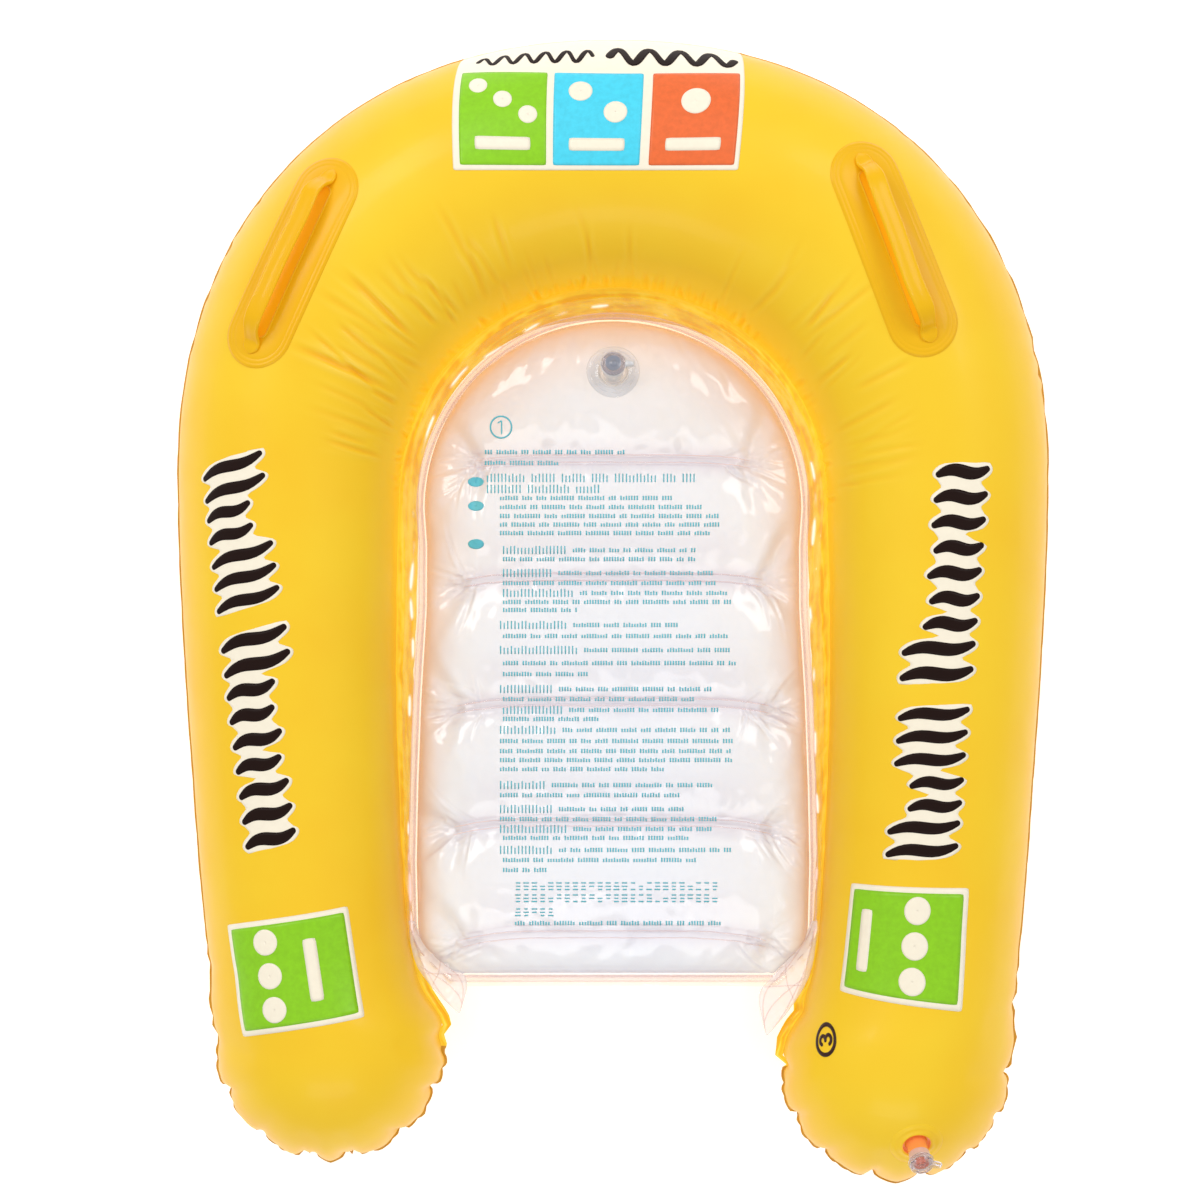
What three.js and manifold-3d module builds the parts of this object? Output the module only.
// Inflatable U-shaped kickboard float: a yellow two-chamber U tube around a clear ribbed air panel,
// two grip handles and three push-in mouth valves.
// Millimetres, +Z up, +Y towards the nose, +X to the right.
// The origin is on the floor plane under the middle of the float.
import * as THREE from "three";
import { mergeVertices } from "three/addons/utils/BufferGeometryUtils.js";
import Module from "manifold-3d";

const wasm = await Module();
wasm.setup();

// ---------------------------------------------------------------- film and seam
const FILM = 0.4; // film thickness
const GAP = 0.3; // clearance between neighbouring plies
const TUBE_H = 75; // tube half height at the nose and the feet
const SEAM_Z = TUBE_H; // height of the weld seam plane above the floor

// Plies in the seam, as distances from the seam plane. The divider is centred on it, a tube sheet
// lies on each side and both panel sheets lie above the upper tube sheet.
const TUBE_IN = FILM / 2 + GAP;
const TUBE_OUT = TUBE_IN + FILM;
const PANEL_LOW_OUT = TUBE_OUT + GAP;
const PANEL_LOW_IN = PANEL_LOW_OUT + FILM;
const PANEL_TOP_IN = PANEL_LOW_IN + GAP;
const PANEL_TOP_OUT = PANEL_TOP_IN + FILM;

// ---------------------------------------------------------------- U tube dimensions
// plan shape of the tube body, without the weld flange
const NOSE_Y = 83.2; // centre of the outer nose arc
const NOSE_HALF_W = 273;
const NOSE_REACH = 274; // from NOSE_Y to the tip
const NOSE_POWER = 2 / 2.2; // super-ellipse exponent of the outer nose
const INNER_Y = 68.7; // centre of the inner arc
const INNER_HALF_W = 135;
const INNER_REACH = 134;
const OUTER_FLANGE = 4; // weld flange outside the tube
const INNER_FLANGE = 12.5; // weld flange inside the nose arc
const ARC_H = 72; // tube half height where the nose arc starts
const ARC_FULL_DEG = 63; // angle into the arc at which TUBE_H is reached
const RIGHT_FOOT_Y = -286.7; // centre of the rounded right foot
const LEFT_FOOT_Y = -273.5; // the left leg is a little shorter
const SHORTEN_Y = -130; // the left leg is shortened behind this
// y, outer x, inner x, inner flange edge x, half height, y offset of the inner point
const LEG = [
  [RIGHT_FOOT_Y, 248.6, 107.0, 103.0, 75.0, 0],
  [-268.0, 250.6, 110.5, 101.5, 75.0, 0],
  [-250.7, 251.8, 119.7, 113.0, 73.0, 0],
  [-219.0, 254.3, 128.0, 123.4, 70.0, 0],
  [-168.8, 259.0, 132.3, 128.0, 68.0, 0],
  [-110.0, 263.2, 135.0, 127.5, 68.0, 0],
  [-55.0, 267.2, 136.7, 126.0, 69.0, 0],
  [0.0, 270.4, 136.5, 124.0, 70.5, -4],
  [42.0, 272.2, 136.0, 123.0, 71.4, -8],
  [NOSE_Y, NOSE_HALF_W, INNER_HALF_W, INNER_HALF_W - INNER_FLANGE, ARC_H, INNER_Y - NOSE_Y],
];
const LEG_SPANS = LEG.length - 1;
const LEG_SHARE = 0.55; // share of a half's parameter that the leg takes, the nose arc has the rest
const ARC_STEPS = 10; // steps from the side to the nose
const FOOT_STEPS = 8; // steps round a foot
const SECTION_DEG = [0, 14, 29, 45, 61, 77.5, 90]; // tube section, from the seam to the ridge

// ---------------------------------------------------------------- clear panel dimensions
const PANEL_ARC_Y = 62.7; // centre of the round front
const PANEL_R = 120;
const PANEL_FRONT = PANEL_ARC_Y + PANEL_R;
const PANEL_BACK = -230.6; // rear weld
const TIES = [93.9, 20.2, -58.0, -132.9, -202.9]; // y of the transverse tie webs
const TIE_HALF_W = [84, 92, 96, 98, 94];
const TIE_END_STEP = 2; // least distance from a tie's end to its next outline point
const TIE_H = 18; // half thickness of the panel at a tie
const RIB_H = 28; // half thickness between ties
const FRONT_RIB_H = 32; // the same in front of the first tie, before rounding off
const FRONT_ROUND = 0.35; // share of the front rib's length at which it starts to round off
// y, half width of the chamber
const PANEL_HALF_W = [
  [PANEL_BACK, 101], [-222, 110], [-214, 118], [-206, 122.5], [-200, 124], [-160, 125],
  [-110, 124], [-55, 122], [0, 118.6], [40, 118.4], [PANEL_ARC_Y, PANEL_R],
];
// y, width of the side flange
const PANEL_SIDE_FLANGE = [
  [-230, 3], [-214, 4], [-200, 4], [-160, 5], [-110, 8], [-55, 11], [0, 13],
  [PANEL_ARC_Y, INNER_FLANGE],
];
const PANEL_BACK_FLANGE = 7.5;
const PANEL_CORNER = 0.7; // sideways share of the flange at the back corners
// y of the grid rows, with a row on each tie
const PANEL_ROWS = [
  PANEL_FRONT, 176, 164, 148, 130, 112, 93.9, 76, 57, 38, 20.2, 0, -19, -38, -58, -77, -95, -114,
  -132.9, -150, -168, -186, -202.9, -215, -224, PANEL_BACK,
];
// grid columns as shares of the half width
const PANEL_COLUMNS = [-1, -0.97, -0.88, -0.6, -0.3, 0, 0.3, 0.6, 0.88, 0.97, 1];

// ---------------------------------------------------------------- handle dimensions
// plan position of the patch centre, angle of the long axis from +Y in degrees
const HANDLES = [
  { side: "left", x: -196.2, y: 212.4, turn: -24.4 },
  { side: "right", x: 171.0, y: 220.3, turn: 21.0 },
];
const PATCH_LEN = 140;
const PATCH_W = 44;
const PATCH_END_HALF_W = 3.5; // smallest half width, at the tips
const PATCH_T = 1.2;
const PATCH_STEPS = { along: 14, across: 6 };
const GRIP_LEN = 108;
const GRIP_W = 12;
const GRIP_FOOT_W = 6;
const GRIP_TAPER = 14; // length over which the strap widens from its foot
const GRIP_FOOT_UP = 3.2; // height of the grip's foot line above the patch
const GRIP_T = 2.4;
const GRIP_EDGE = 0.45; // thickness at the strap's edges, as a share of GRIP_T
const GRIP_RISE = 11;
const GRIP_CROWN = 1.5; // extra rise in the middle
// distance from the end, height above the foot line
const GRIP_END = [[0, 0.2], [3.2, 0.6], [7, 4], [12, 8.6], [20, GRIP_RISE]];
const GRIP_STEPS = 20;
const GRIP_COLUMNS = [-1, -0.6, 0, 0.6, 1]; // shares of the half width

// ---------------------------------------------------------------- valve dimensions
const HOLE_R = 9.8; // hole in the film
const VALVE_FLANGE_R = 15.5;
const STEM_R = 6.5;
const STEM_BORE = 5.0; // radius
const STEM_UP = 14; // stem height above the film
const STEM_DOWN = 9; // stem length inside
const PLUG_R = 7.3;
const PLUG_SHANK = 4.7; // radius
const FLAP_R = 4.6;
const FLAP_T = 0.6;
const COLLAR_IN = STEM_R + 0.3;
const COLLAR_OUT = STEM_R + 1.5;
const STRAP_TIP = PLUG_R + 0.7; // radius at which the tether strap ends
const STRAP_W = 4;
// side view of the tether strap: radius, height above the film
const STRAP_OUTLINE = [
  [STEM_R + 0.6, 11.4], [COLLAR_OUT, 11.4], [8.3, 12.6], [11.0, 12.7], [12.6, 13.6],
  [12.8, 15.0], [11.8, 16.3], [STRAP_TIP, 16.4], [STRAP_TIP, 15.4], [11.3, 15.3],
  [11.7, 14.8], [11.6, 14.2], [10.7, 13.7], [7.9, 13.7], [7.1, 12.4],
];
const PANEL_VALVE_Y = 148;
const UPPER_VALVE = [186, -329]; // plan position, on the right foot
const LOWER_VALVE = [-186, -321]; // plan position, under the left foot
const TUBE_VALVE_SINK = 0.6; // depth of the tube valves below the film's outer face

// ---------------------------------------------------------------- materials
const LOOKS = {
  tube: { color: 0xf4bf1c, roughness: 0.42 },
  divider: { color: 0xf4bf1c, roughness: 0.5 },
  panel: { color: 0xf2f2f4, roughness: 0.15, transparent: true, opacity: 0.45 },
  handle: { color: 0xf2b20e, roughness: 0.35 },
  valve: { color: 0xe6e6ea, roughness: 0.2 },
};

function addPiece(parent, name, geometry, look) {
  const material = new THREE.MeshStandardMaterial({ metalness: 0, ...look });
  const mesh = new THREE.Mesh(geometry, material);
  mesh.name = name;
  parent.add(mesh);
}

// ---------------------------------------------------------------- number helpers
const rad = (degrees) => (degrees * Math.PI) / 180;
const lerp = (from, to, share) => from + (to - from) * share;
const rootAbove0 = (value) => Math.sqrt(Math.max(0, value));

// value at a place in rows of [place, value], held constant beyond both ends
function interpolate(rows, place) {
  const next = rows.findIndex((row) => place <= row[0]);
  if (next === 0) return rows[0][1];
  if (next < 0) return rows[rows.length - 1][1];
  const [start, from] = rows[next - 1];
  const [end, to] = rows[next];
  return lerp(from, to, (place - start) / (end - start));
}

function slope(height, place) {
  const step = 0.5;
  return (height(place + step) - height(place - step)) / (2 * step);
}

// ---------------------------------------------------------------- mesh helpers
function makeGeometry(positions, triangles) {
  const geometry = new THREE.BufferGeometry();
  const array = new Float32Array(positions);
  geometry.setAttribute("position", new THREE.BufferAttribute(array, 3));
  geometry.setIndex(Array.from(triangles));
  return geometry;
}

function signedVolume(positions, index) {
  let volume = 0;
  const corners = [new THREE.Vector3(), new THREE.Vector3(), new THREE.Vector3()];
  for (let i = 0; i < index.length; i += 3) {
    corners.forEach((corner, k) => corner.fromArray(positions, index[i + k] * 3));
    volume += corners[0].dot(corners[1].cross(corners[2])) / 6;
  }
  return volume;
}

// merges shared vertices, drops collapsed triangles and turns the faces outwards
function closed(geometry) {
  geometry.deleteAttribute("normal");
  geometry.deleteAttribute("uv");
  const merged = mergeVertices(geometry, 1e-4);
  const source = merged.index.array;
  const index = [];
  for (let i = 0; i < source.length; i += 3) {
    const triangle = source.slice(i, i + 3);
    if (new Set(triangle).size === 3) index.push(...triangle);
  }
  if (signedVolume(merged.attributes.position.array, index) < 0)
    for (let i = 0; i < index.length; i += 3)
      [index[i + 1], index[i + 2]] = [index[i + 2], index[i + 1]];
  merged.setIndex(index);
  return merged;
}

// quads between neighbouring points of a row-by-row grid; a looped grid joins its last row to its first
function gridQuads(rows, columns, looped = false) {
  const quads = [];
  for (let i = 0; i < (looped ? rows : rows - 1); i++) {
    const here = i * columns;
    const next = ((i + 1) % rows) * columns;
    for (let j = 0; j < columns - 1; j++)
      quads.push([here + j, next + j, next + j + 1, here + j + 1]);
  }
  return quads;
}

// a sheet of film: two matching skins joined by a wall along their free edges
function thickSheet(skinA, skinB, quads) {
  const key = (point) => point.map((value) => Math.round(value * 1e3)).join();
  const ids = new Map();
  const pointsA = [];
  const pointsB = [];
  const merged = skinA.map((point, i) => {
    const pairKey = key(point) + "/" + key(skinB[i]);
    if (!ids.has(pairKey)) {
      ids.set(pairKey, pointsA.length);
      pointsA.push(point);
      pointsB.push(skinB[i]);
    }
    return ids.get(pairKey);
  });

  const count = pointsA.length;
  const edges = new Map();
  const index = [];
  const addTriangle = (a, b, c) => {
    if (a === b || b === c || a === c) return;
    index.push(a, b, c, c + count, b + count, a + count);
    for (const [from, to] of [[a, b], [b, c], [c, a]]) edges.set(from + "," + to, [from, to]);
  };
  for (const quad of quads) {
    const [a, b, c, d] = quad.map((i) => merged[i]);
    addTriangle(a, b, c);
    addTriangle(a, c, d);
  }
  for (const [from, to] of edges.values())
    if (!edges.has(to + "," + from))
      index.push(to, from, from + count, to, from + count, to + count);
  return closed(makeGeometry([...pointsA, ...pointsB].flat(), index));
}

const toSolid = (geometry) =>
  new wasm.Manifold(
    new wasm.Mesh({
      numProp: 3,
      vertProperties: new Float32Array(geometry.attributes.position.array),
      triVerts: new Uint32Array(geometry.index.array),
    }),
  );

function fromSolid(solid) {
  const mesh = solid.getMesh();
  return makeGeometry(mesh.vertProperties, mesh.triVerts);
}

const cut = (geometry, tool) => fromSolid(toSolid(geometry).subtract(toSolid(tool)));

const vectors2 = (points) => points.map(([x, y]) => new THREE.Vector2(x, y));

// profile points are radius, height
const lathe = (profile, segments = 16) =>
  closed(new THREE.LatheGeometry(vectors2(profile), segments));

function extrude(points, depth) {
  const shape = new THREE.Shape(vectors2(points));
  shape.closePath();
  return new THREE.ExtrudeGeometry(shape, { depth, bevelEnabled: false });
}

// ---------------------------------------------------------------- U tube plan
// outer and inner plan points of a right half at t = 0 (foot) to 1 (nose)
function rightHalf(t) {
  if (t < LEG_SHARE) {
    const place = (t / LEG_SHARE) * LEG_SPANS;
    const row = Math.min(Math.floor(place), LEG_SPANS - 1);
    const [y, outerX, innerX, flangeX, halfHeight, innerShift] = LEG[row].map((value, column) =>
      lerp(value, LEG[row + 1][column], place - row),
    );
    return {
      outer: [outerX, y],
      inner: [innerX, y + innerShift],
      innerFlange: innerX - flangeX,
      halfHeight,
    };
  }
  const angle = rad(((t - LEG_SHARE) / (1 - LEG_SHARE)) * 90);
  const cos = Math.max(0, Math.cos(angle));
  const sin = Math.sin(angle);
  return {
    outer: [
      NOSE_HALF_W * Math.pow(cos, NOSE_POWER),
      NOSE_Y + NOSE_REACH * Math.pow(sin, NOSE_POWER),
    ],
    inner: [INNER_HALF_W * cos, INNER_Y + INNER_REACH * sin],
    innerFlange: INNER_FLANGE,
    halfHeight: lerp(ARC_H, TUBE_H, Math.min(1, angle / rad(ARC_FULL_DEG))),
  };
}

// mirrors a plan point to the left half and shortens the leg
function toLeft([x, y]) {
  const share = Math.min(1, Math.max(0, (SHORTEN_Y - y) / (SHORTEN_Y - RIGHT_FOOT_Y)));
  return [-x, y + (LEFT_FOOT_Y - RIGHT_FOOT_Y) * share];
}

// cross-section of the whole U: s is 0 at the left foot, 0.5 at the nose, 1 at the right foot;
// dir points from the centre line to the outer edge
function station(s) {
  const isLeft = s <= 0.5;
  const { outer, inner, ...sizes } = rightHalf(isLeft ? s * 2 : 2 - s * 2);
  const [outX, outY] = isLeft ? toLeft(outer) : outer;
  const [inX, inY] = isLeft ? toLeft(inner) : inner;
  const centre = [(outX + inX) / 2, (outY + inY) / 2];
  const reach = [outX - centre[0], outY - centre[1]];
  const halfWidth = Math.hypot(...reach);
  return { centre, dir: reach.map((value) => value / halfWidth), halfWidth, ...sizes };
}

// upper surface of the tube over a plan point: height above the seam plane
function tubeHeight(x, y) {
  const offset = (at) => [x - at.centre[0], y - at.centre[1]];
  // signed distance of the plan point from the line of a cross-section
  const miss = (s) => {
    const at = station(s);
    const [dx, dy] = offset(at);
    return dx * at.dir[1] - dy * at.dir[0];
  };
  const STEPS = 240;
  const HALVINGS = 30;
  let best = null;
  let previous = miss(0);
  for (let k = 1; k <= STEPS; k++) {
    const current = miss(k / STEPS);
    if (previous === 0 || previous * current < 0) {
      let low = (k - 1) / STEPS;
      let high = k / STEPS;
      let lowMiss = previous;
      for (let j = 0; j < HALVINGS; j++) {
        const middle = (low + high) / 2;
        const middleMiss = miss(middle);
        if (lowMiss * middleMiss <= 0) high = middle;
        else {
          low = middle;
          lowMiss = middleMiss;
        }
      }
      const at = station(low);
      const [dx, dy] = offset(at);
      const radius = Math.abs(dx * at.dir[0] + dy * at.dir[1]);
      if (radius < at.halfWidth && (!best || radius < best.radius)) best = { radius, at };
    }
    previous = current;
  }
  // behind the last cross-sections lie the round feet
  if (!best) {
    for (const at of [station(0), station(1)]) {
      const radius = Math.hypot(...offset(at));
      if (radius < at.halfWidth && y < at.centre[1] + 5) best = { radius, at };
    }
  }
  const share = best.radius / best.at.halfWidth;
  return TUBE_OUT + (best.at.halfHeight - TUBE_OUT) * rootAbove0(1 - share * share);
}

// point and outward normal of the tube's upper surface
function tubePoint(x, y) {
  const slopeX = slope((at) => tubeHeight(at, y), x);
  const slopeY = slope((at) => tubeHeight(x, at), y);
  return {
    point: new THREE.Vector3(x, y, SEAM_Z + tubeHeight(x, y)),
    normal: new THREE.Vector3(-slopeX, -slopeY, 1).normalize(),
  };
}

// Boundary loop of the U: along the outer edge from the left foot to the right, round the right foot,
// back along the inner edge and round the left foot. Each entry keeps its station's centre.
function boundaryLoop() {
  const leftHalf = [];
  for (let k = 0; k < LEG_SPANS; k++) leftHalf.push((LEG_SHARE * k) / LEG_SPANS / 2);
  for (let k = 0; k <= ARC_STEPS; k++)
    leftHalf.push((LEG_SHARE + ((1 - LEG_SHARE) * k) / ARC_STEPS) / 2);
  const mirrored = leftHalf.slice(0, -1).reverse().map((s) => 1 - s);
  const stations = [...leftHalf, ...mirrored].map(station);

  const footEntry = (at, step, sign) => {
    const angle = (Math.PI * step) / FOOT_STEPS;
    const cos = Math.cos(angle);
    const sin = Math.sin(angle) * sign;
    const [x, y] = at.dir;
    return {
      ...at,
      dir: [x * cos - y * sin, x * sin + y * cos],
      flange: lerp(OUTER_FLANGE, at.innerFlange, step / FOOT_STEPS),
    };
  };
  const loop = stations.map((at) => ({ ...at, flange: OUTER_FLANGE }));
  const rightFoot = stations[stations.length - 1];
  for (let k = 1; k < FOOT_STEPS; k++) loop.push(footEntry(rightFoot, k, -1));
  for (const at of [...stations].reverse())
    loop.push({ ...at, dir: [-at.dir[0], -at.dir[1]], flange: at.innerFlange });
  for (let k = FOOT_STEPS - 1; k >= 1; k--) loop.push(footEntry(stations[0], k, 1));
  return loop;
}
const LOOP = boundaryLoop();

// a point at a plan radius from a loop entry's centre and a height from the seam plane
const loopPoint = ({ centre, dir }, radius, height) => [
  centre[0] + dir[0] * radius,
  centre[1] + dir[1] * radius,
  SEAM_Z + height,
];

// up 1: upper sheet, -1: lower sheet, whose ridge is flat from the last but one section angle
function tubeSheet(up) {
  const outer = [];
  const inner = [];
  const last = SECTION_DEG.length - 1;
  for (const entry of LOOP) {
    const { halfWidth, halfHeight, flange } = entry;
    outer.push(loopPoint(entry, halfWidth + flange, up * TUBE_OUT));
    inner.push(loopPoint(entry, halfWidth + flange, up * TUBE_IN));
    SECTION_DEG.forEach((degrees, k) => {
      const cos = k === last ? 0 : Math.cos(rad(degrees));
      const sin = up < 0 && k >= last - 1 ? 1 : Math.sin(rad(degrees));
      const rise = (halfHeight - TUBE_OUT) * sin;
      outer.push(loopPoint(entry, halfWidth * cos, up * (TUBE_OUT + rise)));
      inner.push(loopPoint(entry, (halfWidth - FILM) * cos, up * (TUBE_IN + rise)));
    });
  }
  return thickSheet(outer, inner, gridQuads(LOOP.length, SECTION_DEG.length + 1, true));
}

// flat film between the upper and the lower chamber
function dividerSheet() {
  const skin = (height) =>
    LOOP.flatMap((entry) =>
      [entry.halfWidth + entry.flange, entry.halfWidth * 0.5, 0].map((radius) =>
        loopPoint(entry, radius, height),
      ),
    );
  return thickSheet(skin(FILM / 2), skin(-FILM / 2), gridQuads(LOOP.length, 3, true));
}

// ---------------------------------------------------------------- clear panel
function panelHalfWidth(y) {
  if (y > PANEL_ARC_Y) return rootAbove0(PANEL_R ** 2 - (y - PANEL_ARC_Y) ** 2);
  return interpolate(PANEL_HALF_W, y);
}

// half thickness along the middle of the panel
function panelRib(y) {
  if (y >= TIES[0]) {
    const t = (y - TIES[0]) / (PANEL_FRONT - TIES[0]);
    const round = rootAbove0(1 - Math.max(0, (t - FRONT_ROUND) / (1 - FRONT_ROUND)) ** 2);
    return lerp(TIE_H, FRONT_RIB_H, Math.sin(Math.min(t, 0.5) * Math.PI)) * round;
  }
  for (let k = 1; k < TIES.length; k++)
    if (y >= TIES[k]) {
      const t = (y - TIES[k]) / (TIES[k - 1] - TIES[k]);
      return lerp(TIE_H, RIB_H, Math.sin(Math.PI * t));
    }
  return TIE_H * rootAbove0((y - PANEL_BACK) / (TIES[TIES.length - 1] - PANEL_BACK));
}

// share of the middle's half thickness at a share of the half width
const panelFullness = (column) => rootAbove0(1 - Math.abs(column) ** 5);

// offset in plan from a rim point of the chamber to the edge of the weld flange
function panelFlangeOffset(x, y, row, column) {
  if (y > PANEL_ARC_Y) {
    const length = Math.hypot(x, y - PANEL_ARC_Y);
    return [(x / length) * INNER_FLANGE, ((y - PANEL_ARC_Y) / length) * INNER_FLANGE];
  }
  if (row === PANEL_ROWS.length - 1) {
    const isCorner = Math.abs(PANEL_COLUMNS[column]) === 1;
    const sideways = isCorner ? Math.sign(x) * PANEL_CORNER : 0;
    return [sideways * PANEL_BACK_FLANGE, -PANEL_BACK_FLANGE];
  }
  return [Math.sign(x) * interpolate(PANEL_SIDE_FLANGE, y), 0];
}

// up 1: upper sheet, -1: lower sheet
function panelSheet(up) {
  const outer = [];
  const inner = [];
  const outerZ = SEAM_Z + (up > 0 ? PANEL_TOP_OUT : PANEL_LOW_OUT);
  const innerZ = SEAM_Z + (up > 0 ? PANEL_TOP_IN : PANEL_LOW_IN);
  for (const y of PANEL_ROWS)
    for (const column of PANEL_COLUMNS) {
      const x = column * panelHalfWidth(y);
      const height = up * panelRib(y) * panelFullness(column);
      outer.push([x, y, outerZ + height]);
      inner.push([x, y, innerZ + height]);
    }
  const rows = PANEL_ROWS.length;
  const columns = PANEL_COLUMNS.length;
  const quads = gridQuads(rows, columns);

  // rim of the chamber, from the front round the left side, the back and the right side
  const rim = [];
  for (let i = 0; i < rows; i++) rim.push([i, 0]);
  for (let j = 1; j < columns; j++) rim.push([rows - 1, j]);
  for (let i = rows - 2; i > 0; i--) rim.push([i, columns - 1]);
  const rimPoints = rim.map(([row, column]) => row * columns + column);
  const flangeStart = outer.length;
  rim.forEach(([row, column], k) => {
    const [x, y] = outer[rimPoints[k]];
    const [dx, dy] = panelFlangeOffset(x, y, row, column);
    outer.push([x + dx, y + dy, outerZ]);
    inner.push([x + dx, y + dy, innerZ]);
  });
  for (let k = 0; k < rim.length; k++) {
    const next = (k + 1) % rim.length;
    quads.push([rimPoints[k], flangeStart + k, flangeStart + next, rimPoints[next]]);
  }
  return thickSheet(outer, inner, quads);
}

// tie web: an upright strip of film across the panel; its edges follow the sheets
function tieWeb(y, halfLength) {
  const halfWidth = panelHalfWidth(y);
  const profile = PANEL_COLUMNS.filter((column) => column >= 0)
    .map((column) => [column, TIE_H * panelFullness(column)]);
  const bulge = (x) => interpolate(profile, Math.abs(x) / halfWidth);
  const middle = PANEL_COLUMNS.map((column) => column * halfWidth)
    .filter((x) => Math.abs(x) < halfLength - TIE_END_STEP);
  const places = [-halfLength, ...middle, halfLength];
  const top = places.map((x) => [x, SEAM_Z + PANEL_TOP_IN + bulge(x) - GAP]);
  const bottom = places.map((x) => [x, SEAM_Z + PANEL_LOW_IN - bulge(x) + GAP]);
  const geometry = extrude([...top, ...bottom.reverse()], FILM);
  geometry.rotateX(Math.PI / 2);
  geometry.translate(0, y + FILM / 2, 0);
  return closed(geometry);
}

// ---------------------------------------------------------------- handles
// plan direction of a handle's long axis, towards the nose
const handleAxis = ({ turn }) => new THREE.Vector2(-Math.sin(rad(turn)), Math.cos(rad(turn)));

// a race-track piece of film that follows the tube
function handlePatch(handle) {
  const axis = handleAxis(handle);
  const { normal } = tubePoint(handle.x, handle.y);
  const across = new THREE.Vector3(axis.y, -axis.x, 0);
  across.addScaledVector(normal, -across.dot(normal)).normalize();
  const upper = [];
  const lower = [];
  const steps = PATCH_STEPS;
  const endRadius = PATCH_W / 2;
  for (let i = 0; i <= steps.along; i++) {
    const along = (-Math.cos((Math.PI * i) / steps.along) * PATCH_LEN) / 2;
    const intoEnd = Math.max(0, Math.abs(along) - (PATCH_LEN / 2 - endRadius));
    const halfWidth = Math.max(PATCH_END_HALF_W, rootAbove0(endRadius ** 2 - intoEnd ** 2));
    for (let j = 0; j <= steps.across; j++) {
      const aside = ((j / steps.across) * 2 - 1) * halfWidth;
      const x = handle.x + axis.x * along + across.x * aside;
      const y = handle.y + axis.y * along + across.y * aside;
      const on = tubePoint(x, y);
      upper.push(on.point.clone().addScaledVector(on.normal, GAP + PATCH_T).toArray());
      lower.push(on.point.clone().addScaledVector(on.normal, GAP).toArray());
    }
  }
  return thickSheet(lower, upper, gridQuads(steps.along + 1, steps.across + 1));
}

// a flat strap arched over the patch, with its two ends close above it
function handleGrip(handle) {
  const axis = handleAxis(handle);
  const [rear, middle, front] = [-GRIP_LEN / 2, 0, GRIP_LEN / 2].map((along) =>
    tubePoint(handle.x + axis.x * along, handle.y + axis.y * along),
  );
  const [start, end] = [rear, front].map(({ point, normal }) =>
    point.clone().addScaledVector(normal, GAP + PATCH_T + GRIP_FOOT_UP),
  );
  const along = end.clone().sub(start).normalize();
  const up = rear.normal.clone().add(front.normal).add(middle.normal).normalize();
  up.addScaledVector(along, -up.dot(along)).normalize();
  const side = along.clone().cross(up).normalize();
  const length = end.distanceTo(start);

  const arch = [
    ...GRIP_END,
    [length / 2, GRIP_RISE + GRIP_CROWN],
    ...GRIP_END.map(([distance, height]) => [length - distance, height]).reverse(),
  ].map(([distance, height]) =>
    start.clone().addScaledVector(along, distance).addScaledVector(up, height),
  );
  const path = new THREE.CatmullRomCurve3(arch, false, "centripetal");
  const upper = [];
  const lower = [];
  for (let i = 0; i <= GRIP_STEPS; i++) {
    const centre = path.getPoint(i / GRIP_STEPS);
    const normal = side.clone().cross(path.getTangent(i / GRIP_STEPS)).normalize();
    const fromEnd = (Math.min(i, GRIP_STEPS - i) / GRIP_STEPS) * length;
    const width = lerp(GRIP_FOOT_W, GRIP_W, Math.min(1, fromEnd / GRIP_TAPER));
    for (const column of GRIP_COLUMNS) {
      const halfT = (GRIP_T / 2) * (Math.abs(column) === 1 ? GRIP_EDGE : 1);
      const point = centre.clone().addScaledVector(side, (column * width) / 2);
      upper.push(point.clone().addScaledVector(normal, halfT).toArray());
      lower.push(point.clone().addScaledVector(normal, -halfT).toArray());
    }
  }
  return thickSheet(lower, upper, gridQuads(GRIP_STEPS + 1, GRIP_COLUMNS.length));
}

// ---------------------------------------------------------------- valve places
// a valve's place: its origin on the film and the film's outward normal
function panelValve() {
  const z = SEAM_Z + PANEL_TOP_OUT + panelRib(PANEL_VALVE_Y);
  return {
    id: "panel_valve",
    point: new THREE.Vector3(0, PANEL_VALVE_Y, z),
    normal: new THREE.Vector3(0, -slope(panelRib, PANEL_VALVE_Y), 1).normalize(),
  };
}

// up 1: on the upper sheet, -1: mirrored in the seam plane to the lower sheet
function tubeValve(id, [x, y], up) {
  const { point, normal } = tubePoint(x, y);
  point.z = SEAM_Z + up * (point.z - SEAM_Z);
  normal.z *= up;
  point.addScaledVector(normal, -TUBE_VALVE_SINK);
  return { id, point, normal };
}

// a valve's own group: +Y of the group is the film's outward normal
function valveGroup({ point, normal }) {
  const group = new THREE.Group();
  group.position.copy(point);
  group.quaternion.setFromUnitVectors(new THREE.Vector3(0, 1, 0), normal);
  group.updateMatrixWorld(true);
  return group;
}

function holeTool(valve) {
  const geometry = new THREE.CylinderGeometry(HOLE_R, HOLE_R, 24, 24);
  geometry.applyMatrix4(valveGroup(valve).matrixWorld);
  return closed(geometry);
}

// ---------------------------------------------------------------- valve parts
// each in the valve's own frame, y along the stem, outwards

// a dished disc under the film with a cup in the film's hole
const valveFlange = () => lathe([
  [STEM_R + 0.45, -2.2], [STEM_R + 0.45, -3.8], [8.6, -4.0], [HOLE_R + 1.2, -4.6],
  [VALVE_FLANGE_R, -5.6], [VALVE_FLANGE_R, -4.8], [HOLE_R + 1.0, -3.5], [HOLE_R - 0.5, -2.6],
  [HOLE_R - 0.6, -0.2], [8.4, -0.2], [8.4, -1.8], [8.1, -2.2], [STEM_R + 0.45, -2.2],
], 20);

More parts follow.
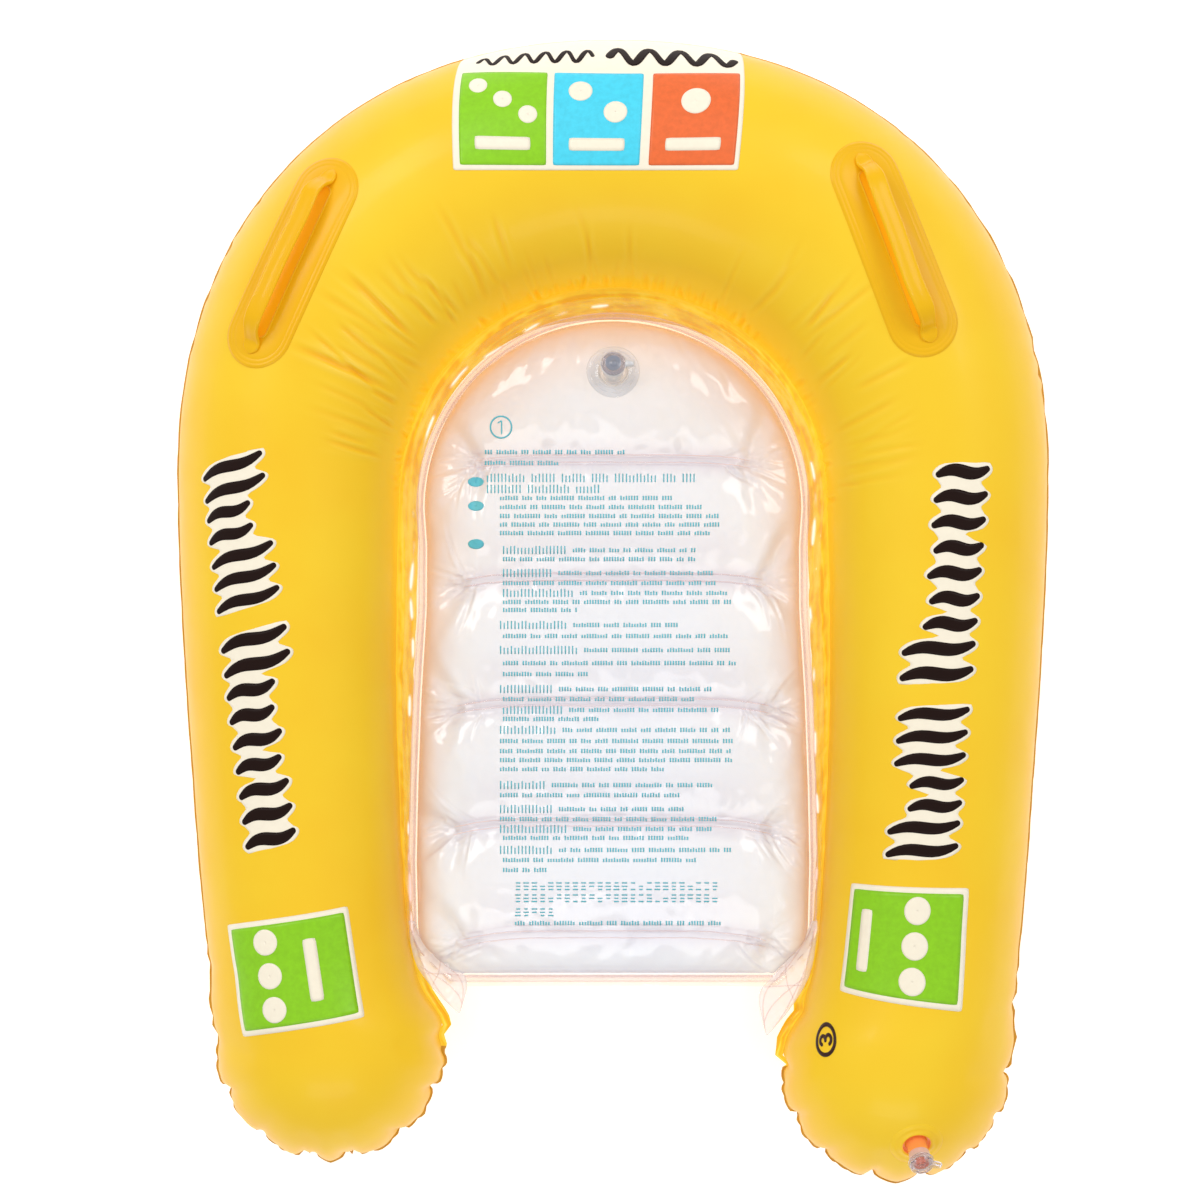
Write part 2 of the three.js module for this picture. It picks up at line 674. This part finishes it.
// hollow tube with a seat at its lower end
const valveStem = () => lathe([
  [STEM_BORE, STEM_UP], [STEM_BORE, -STEM_DOWN + 1.6], [3.4, -STEM_DOWN + 1.2],
  [3.4, -STEM_DOWN], [STEM_R, -STEM_DOWN], [STEM_R, STEM_UP - 0.6], [STEM_R - 0.5, STEM_UP],
  [STEM_BORE, STEM_UP],
]);

// shank in the bore and a rimmed head
const valvePlug = () => lathe([
  [0, STEM_UP - 8], [PLUG_SHANK - 0.6, STEM_UP - 8], [PLUG_SHANK, STEM_UP - 7.2],
  [PLUG_SHANK, STEM_UP + GAP], [PLUG_R, STEM_UP + GAP], [PLUG_R + 0.2, STEM_UP + 1.4],
  [PLUG_R - 0.6, STEM_UP + 2.8], [4.0, STEM_UP + 2.8], [3.4, STEM_UP + 1.4], [0, STEM_UP + 1.2],
]);

// one-way disc under the seat
function valveFlap() {
  const disc = new THREE.Shape();
  disc.absarc(0, 0, FLAP_R, 0, Math.PI * 2, false);
  const options = { depth: FLAP_T, bevelEnabled: false, curveSegments: 12 };
  const geometry = new THREE.ExtrudeGeometry(disc, options);
  geometry.rotateX(Math.PI / 2);
  geometry.translate(0, -STEM_DOWN - GAP, 0);
  return closed(geometry);
}

// a collar near the top of the stem with a strap that loops out and back towards the plug's head
function valveTether() {
  const strap = extrude(STRAP_OUTLINE, STRAP_W);
  strap.translate(0, 0, -STRAP_W / 2);
  const collar = lathe([
    [COLLAR_IN, 11.0], [COLLAR_OUT, 11.0], [COLLAR_OUT, 12.4], [COLLAR_IN, 12.4],
    [COLLAR_IN, 11.0],
  ]);
  const bore = closed(new THREE.CylinderGeometry(COLLAR_IN, COLLAR_IN, 30, 16));
  return fromSolid(toSolid(closed(strap)).subtract(toSolid(bore)).add(toSolid(collar)));
}

const VALVE_PARTS = {
  flange: valveFlange,
  stem: valveStem,
  plug: valvePlug,
  flap: valveFlap,
  tether: valveTether,
};

// ---------------------------------------------------------------- assembly
const float = new THREE.Group();
float.name = "kickboard_float";

const onPanel = panelValve();
const onTop = tubeValve("upper_valve", UPPER_VALVE, 1);
const onBottom = tubeValve("lower_valve", LOWER_VALVE, -1);

addPiece(float, "tube_top_sheet", cut(tubeSheet(1), holeTool(onTop)), LOOKS.tube);
addPiece(float, "tube_divider_sheet", dividerSheet(), LOOKS.divider);
addPiece(float, "tube_bottom_sheet", cut(tubeSheet(-1), holeTool(onBottom)), LOOKS.tube);
addPiece(float, "panel_top_sheet", cut(panelSheet(1), holeTool(onPanel)), LOOKS.panel);
addPiece(float, "panel_bottom_sheet", panelSheet(-1), LOOKS.panel);
TIES.forEach((y, k) =>
  addPiece(float, `panel_tie_${k + 1}`, tieWeb(y, TIE_HALF_W[k]), LOOKS.panel),
);

for (const handle of HANDLES) {
  addPiece(float, `${handle.side}_handle_patch`, handlePatch(handle), LOOKS.handle);
  addPiece(float, `${handle.side}_handle_grip`, handleGrip(handle), LOOKS.handle);
}

for (const valve of [onPanel, onTop, onBottom]) {
  const group = valveGroup(valve);
  group.name = valve.id;
  for (const [part, build] of Object.entries(VALVE_PARTS))
    addPiece(group, `${valve.id}_${part}`, build(), LOOKS.valve);
  float.add(group);
}

export default float;
